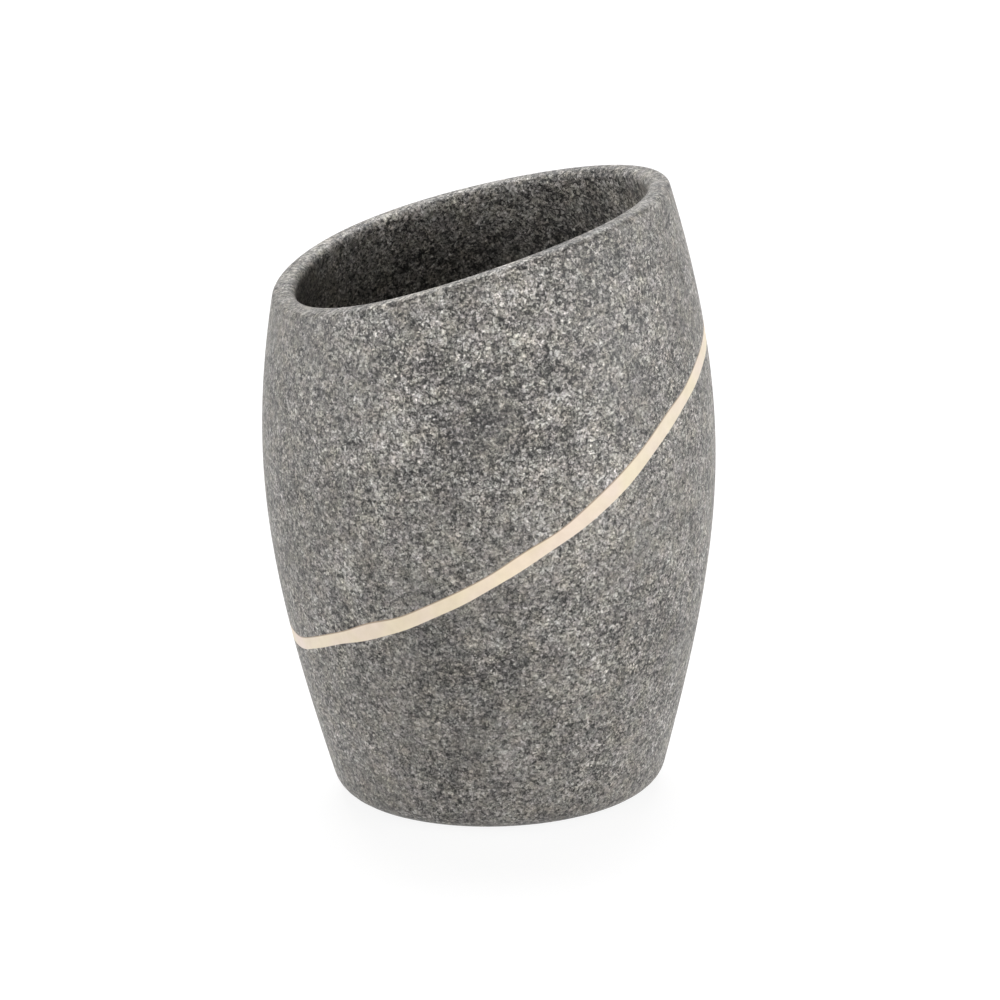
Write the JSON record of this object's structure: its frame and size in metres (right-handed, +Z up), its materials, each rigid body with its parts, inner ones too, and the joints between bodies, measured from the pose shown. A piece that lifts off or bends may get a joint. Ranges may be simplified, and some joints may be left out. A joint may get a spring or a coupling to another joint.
{
  "type": "bathroom tumbler",
  "caption": "Barrel-shaped bathroom tumbler in speckled stone-effect resin, with a slanting rounded rim and a pale vein laid into its wall.",
  "frame": {"origin": "centre of the underside of the pad, on the surface that the tumbler stands on", "axes": "+Z up along the tumbler's axis; +X towards the highest point of the rim; -Y towards the viewer of the picture"},
  "size_m": [0.08, 0.08, 0.1097],
  "materials": {
    "speckled_resin": "satin, fine grey and cream grains",
    "vein_resin": "satin ivory",
    "pad_foam": "matt closed-cell foam",
    "adhesive_film": "dull double-sided film"
  },
  "bodies": {
    "root": {"tumbler_body": "speckled_resin", "vein_inlay": "vein_resin", "base_pad": "pad_foam", "pad_adhesive": "adhesive_film"}
  },
  "joints": []
}
